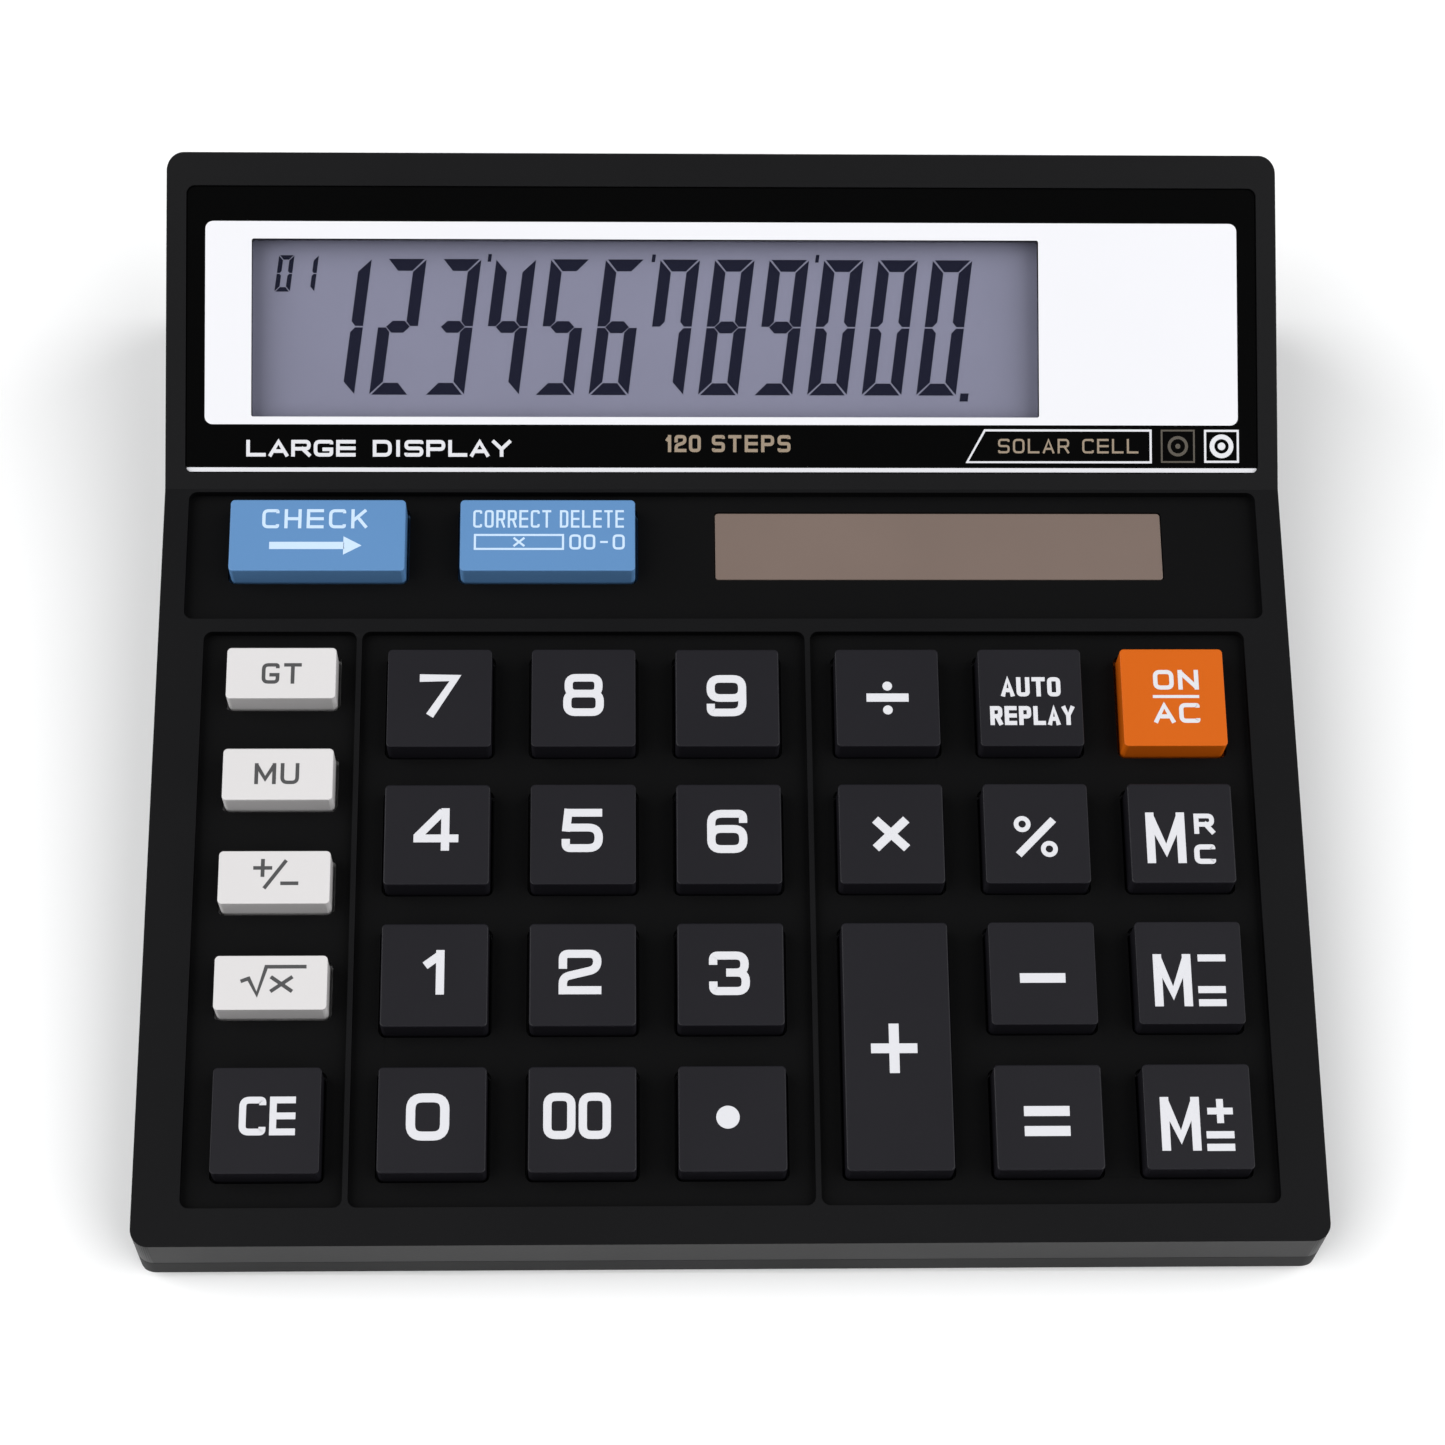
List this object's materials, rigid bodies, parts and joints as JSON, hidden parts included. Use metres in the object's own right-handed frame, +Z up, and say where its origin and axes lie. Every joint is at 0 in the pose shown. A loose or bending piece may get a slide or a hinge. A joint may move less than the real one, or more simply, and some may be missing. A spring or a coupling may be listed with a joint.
{
  "type": "desk calculator",
  "caption": "Wedge-shaped desktop calculator with a large sloping display, sprung keys on a recessed deck, a solar cell and a sliding battery door underneath.",
  "frame": {"origin": "on the desk under the middle of the case, at the bottom centre of the bounding box", "axes": "+X to the user's right, +Y from the user towards the display, +Z up"},
  "size_m": [0.13, 0.125, 0.0351],
  "materials": {
    "case_black": "satin moulded ABS with a fine grain",
    "case_base": "satin moulded ABS, a little rougher than the upper half",
    "window": "clear acrylic, printed black behind, with a white frame",
    "solar_clear": "smoked clear acrylic",
    "solar": "amorphous silicon on glass, dark brown",
    "foam": "soft black foam",
    "film": "grey polarising film",
    "lcd_glass": "thin polished glass",
    "lcd_back": "grey reflective polariser",
    "frame_white": "plain white moulding",
    "flex": "amber polyimide strip with printed tracks",
    "rubber_grey": "translucent grey silicone rubber",
    "board": "green lacquered laminate with black contacts",
    "epoxy": "black cast epoxy",
    "parts": "small electronic parts",
    "steel": "zinc plated steel",
    "foot_rubber": "black rubber",
    "cell": "printed sleeve of a dry cell",
    "lead_black": "black insulation",
    "lead_red": "red insulation",
    "key_black": "satin black ABS with printed legend",
    "key_white": "satin white ABS with printed legend",
    "key_blue": "satin light blue ABS with printed legend",
    "key_orange": "satin orange ABS with printed legend"
  },
  "bodies": {
    "case": {"top_case": "case_black", "bottom_case": "case_base", "display_lens": "window", "solar_window": "solar_clear", "solar_cell": "solar", "solar_pad": "foam", "lcd_front_film": "film", "lcd_front_glass": "lcd_glass", "lcd_rear_glass": "lcd_glass", "lcd_rear_film": "lcd_back", "lcd_frame": "frame_white", "lcd_flex": "flex", "rubber_keypad": "rubber_grey", "main_board": "board", "chip_blob": "epoxy", "board_components": "parts", "inner_screws": "steel", "case_screws": "steel", "rubber_feet": "foot_rubber", "battery_cell": "cell", "battery_spring": "steel", "battery_plate": "steel", "battery_lead_black": "lead_black", "battery_lead_red": "lead_red", "solar_lead_black": "lead_black", "solar_lead_red": "lead_red"},
    "battery_door": {"battery_door": "case_base"},
    "key_7": {"key_7": "key_black"},
    "key_4": {"key_4": "key_black"},
    "key_1": {"key_1": "key_black"},
    "key_8": {"key_8": "key_black"},
    "key_5": {"key_5": "key_black"},
    "key_2": {"key_2": "key_black"},
    "key_9": {"key_9": "key_black"},
    "key_6": {"key_6": "key_black"},
    "key_3": {"key_3": "key_black"},
    "key_0": {"key_0": "key_black"},
    "key_00": {"key_00": "key_black"},
    "key_point": {"key_point": "key_black"},
    "key_divide": {"key_divide": "key_black"},
    "key_multiply": {"key_multiply": "key_black"},
    "key_plus": {"key_plus": "key_black"},
    "key_replay": {"key_replay": "key_black"},
    "key_percent": {"key_percent": "key_black"},
    "key_minus": {"key_minus": "key_black"},
    "key_equals": {"key_equals": "key_black"},
    "key_on": {"key_on": "key_orange"},
    "key_mrc": {"key_mrc": "key_black"},
    "key_m_minus": {"key_m_minus": "key_black"},
    "key_m_plus": {"key_m_plus": "key_black"},
    "key_gt": {"key_gt": "key_white"},
    "key_mu": {"key_mu": "key_white"},
    "key_sign": {"key_sign": "key_white"},
    "key_root": {"key_root": "key_white"},
    "key_ce": {"key_ce": "key_black"},
    "key_check": {"key_check": "key_blue"},
    "key_correct": {"key_correct": "key_blue"}
  },
  "joints": [
    {"name": "battery_door_slide", "type": "slide", "parent": "case", "child": "battery_door", "axis": [0, 1, 0], "range_m": [0, 0.02]},
    {"name": "key_7_press", "type": "slide", "parent": "case", "child": "key_7", "axis": [0, 0.0976, -0.9952], "range_m": [0, 0.0012], "stiffness_N_per_m": 350, "springref_m": -0.0008, "deforming": ["rubber_keypad"]},
    {"name": "key_4_press", "type": "slide", "parent": "case", "child": "key_4", "axis": [0, 0.0976, -0.9952], "range_m": [0, 0.0012], "stiffness_N_per_m": 350, "springref_m": -0.0008, "deforming": ["rubber_keypad"]},
    {"name": "key_1_press", "type": "slide", "parent": "case", "child": "key_1", "axis": [0, 0.0976, -0.9952], "range_m": [0, 0.0012], "stiffness_N_per_m": 350, "springref_m": -0.0008, "deforming": ["rubber_keypad"]},
    {"name": "key_8_press", "type": "slide", "parent": "case", "child": "key_8", "axis": [0, 0.0976, -0.9952], "range_m": [0, 0.0012], "stiffness_N_per_m": 350, "springref_m": -0.0008, "deforming": ["rubber_keypad"]},
    {"name": "key_5_press", "type": "slide", "parent": "case", "child": "key_5", "axis": [0, 0.0976, -0.9952], "range_m": [0, 0.0012], "stiffness_N_per_m": 350, "springref_m": -0.0008, "deforming": ["rubber_keypad"]},
    {"name": "key_2_press", "type": "slide", "parent": "case", "child": "key_2", "axis": [0, 0.0976, -0.9952], "range_m": [0, 0.0012], "stiffness_N_per_m": 350, "springref_m": -0.0008, "deforming": ["rubber_keypad"]},
    {"name": "key_9_press", "type": "slide", "parent": "case", "child": "key_9", "axis": [0, 0.0976, -0.9952], "range_m": [0, 0.0012], "stiffness_N_per_m": 350, "springref_m": -0.0008, "deforming": ["rubber_keypad"]},
    {"name": "key_6_press", "type": "slide", "parent": "case", "child": "key_6", "axis": [0, 0.0976, -0.9952], "range_m": [0, 0.0012], "stiffness_N_per_m": 350, "springref_m": -0.0008, "deforming": ["rubber_keypad"]},
    {"name": "key_3_press", "type": "slide", "parent": "case", "child": "key_3", "axis": [0, 0.0976, -0.9952], "range_m": [0, 0.0012], "stiffness_N_per_m": 350, "springref_m": -0.0008, "deforming": ["rubber_keypad"]},
    {"name": "key_0_press", "type": "slide", "parent": "case", "child": "key_0", "axis": [0, 0.0976, -0.9952], "range_m": [0, 0.0012], "stiffness_N_per_m": 350, "springref_m": -0.0008, "deforming": ["rubber_keypad"]},
    {"name": "key_00_press", "type": "slide", "parent": "case", "child": "key_00", "axis": [0, 0.0976, -0.9952], "range_m": [0, 0.0012], "stiffness_N_per_m": 350, "springref_m": -0.0008, "deforming": ["rubber_keypad"]},
    {"name": "key_point_press", "type": "slide", "parent": "case", "child": "key_point", "axis": [0, 0.0976, -0.9952], "range_m": [0, 0.0012], "stiffness_N_per_m": 350, "springref_m": -0.0008, "deforming": ["rubber_keypad"]},
    {"name": "key_divide_press", "type": "slide", "parent": "case", "child": "key_divide", "axis": [0, 0.0976, -0.9952], "range_m": [0, 0.0012], "stiffness_N_per_m": 350, "springref_m": -0.0008, "deforming": ["rubber_keypad"]},
    {"name": "key_multiply_press", "type": "slide", "parent": "case", "child": "key_multiply", "axis": [0, 0.0976, -0.9952], "range_m": [0, 0.0012], "stiffness_N_per_m": 350, "springref_m": -0.0008, "deforming": ["rubber_keypad"]},
    {"name": "key_plus_press", "type": "slide", "parent": "case", "child": "key_plus", "axis": [0, 0.0976, -0.9952], "range_m": [0, 0.0012], "stiffness_N_per_m": 350, "springref_m": -0.0008, "deforming": ["rubber_keypad"]},
    {"name": "key_replay_press", "type": "slide", "parent": "case", "child": "key_replay", "axis": [0, 0.0976, -0.9952], "range_m": [0, 0.0012], "stiffness_N_per_m": 350, "springref_m": -0.0008, "deforming": ["rubber_keypad"]},
    {"name": "key_percent_press", "type": "slide", "parent": "case", "child": "key_percent", "axis": [0, 0.0976, -0.9952], "range_m": [0, 0.0012], "stiffness_N_per_m": 350, "springref_m": -0.0008, "deforming": ["rubber_keypad"]},
    {"name": "key_minus_press", "type": "slide", "parent": "case", "child": "key_minus", "axis": [0, 0.0976, -0.9952], "range_m": [0, 0.0012], "stiffness_N_per_m": 350, "springref_m": -0.0008, "deforming": ["rubber_keypad"]},
    {"name": "key_equals_press", "type": "slide", "parent": "case", "child": "key_equals", "axis": [0, 0.0976, -0.9952], "range_m": [0, 0.0012], "stiffness_N_per_m": 350, "springref_m": -0.0008, "deforming": ["rubber_keypad"]},
    {"name": "key_on_press", "type": "slide", "parent": "case", "child": "key_on", "axis": [0, 0.0976, -0.9952], "range_m": [0, 0.0012], "stiffness_N_per_m": 350, "springref_m": -0.0008, "deforming": ["rubber_keypad"]},
    {"name": "key_mrc_press", "type": "slide", "parent": "case", "child": "key_mrc", "axis": [0, 0.0976, -0.9952], "range_m": [0, 0.0012], "stiffness_N_per_m": 350, "springref_m": -0.0008, "deforming": ["rubber_keypad"]},
    {"name": "key_m_minus_press", "type": "slide", "parent": "case", "child": "key_m_minus", "axis": [0, 0.0976, -0.9952], "range_m": [0, 0.0012], "stiffness_N_per_m": 350, "springref_m": -0.0008, "deforming": ["rubber_keypad"]},
    {"name": "key_m_plus_press", "type": "slide", "parent": "case", "child": "key_m_plus", "axis": [0, 0.0976, -0.9952], "range_m": [0, 0.0012], "stiffness_N_per_m": 350, "springref_m": -0.0008, "deforming": ["rubber_keypad"]},
    {"name": "key_gt_press", "type": "slide", "parent": "case", "child": "key_gt", "axis": [0, 0.0976, -0.9952], "range_m": [0, 0.0012], "stiffness_N_per_m": 350, "springref_m": -0.0008, "deforming": ["rubber_keypad"]},
    {"name": "key_mu_press", "type": "slide", "parent": "case", "child": "key_mu", "axis": [0, 0.0976, -0.9952], "range_m": [0, 0.0012], "stiffness_N_per_m": 350, "springref_m": -0.0008, "deforming": ["rubber_keypad"]},
    {"name": "key_sign_press", "type": "slide", "parent": "case", "child": "key_sign", "axis": [0, 0.0976, -0.9952], "range_m": [0, 0.0012], "stiffness_N_per_m": 350, "springref_m": -0.0008, "deforming": ["rubber_keypad"]},
    {"name": "key_root_press", "type": "slide", "parent": "case", "child": "key_root", "axis": [0, 0.0976, -0.9952], "range_m": [0, 0.0012], "stiffness_N_per_m": 350, "springref_m": -0.0008, "deforming": ["rubber_keypad"]},
    {"name": "key_ce_press", "type": "slide", "parent": "case", "child": "key_ce", "axis": [0, 0.0976, -0.9952], "range_m": [0, 0.0012], "stiffness_N_per_m": 350, "springref_m": -0.0008, "deforming": ["rubber_keypad"]},
    {"name": "key_check_press", "type": "slide", "parent": "case", "child": "key_check", "axis": [0, 0.0976, -0.9952], "range_m": [0, 0.0012], "stiffness_N_per_m": 350, "springref_m": -0.0008, "deforming": ["rubber_keypad"]},
    {"name": "key_correct_press", "type": "slide", "parent": "case", "child": "key_correct", "axis": [0, 0.0976, -0.9952], "range_m": [0, 0.0012], "stiffness_N_per_m": 350, "springref_m": -0.0008, "deforming": ["rubber_keypad"]}
  ]
}
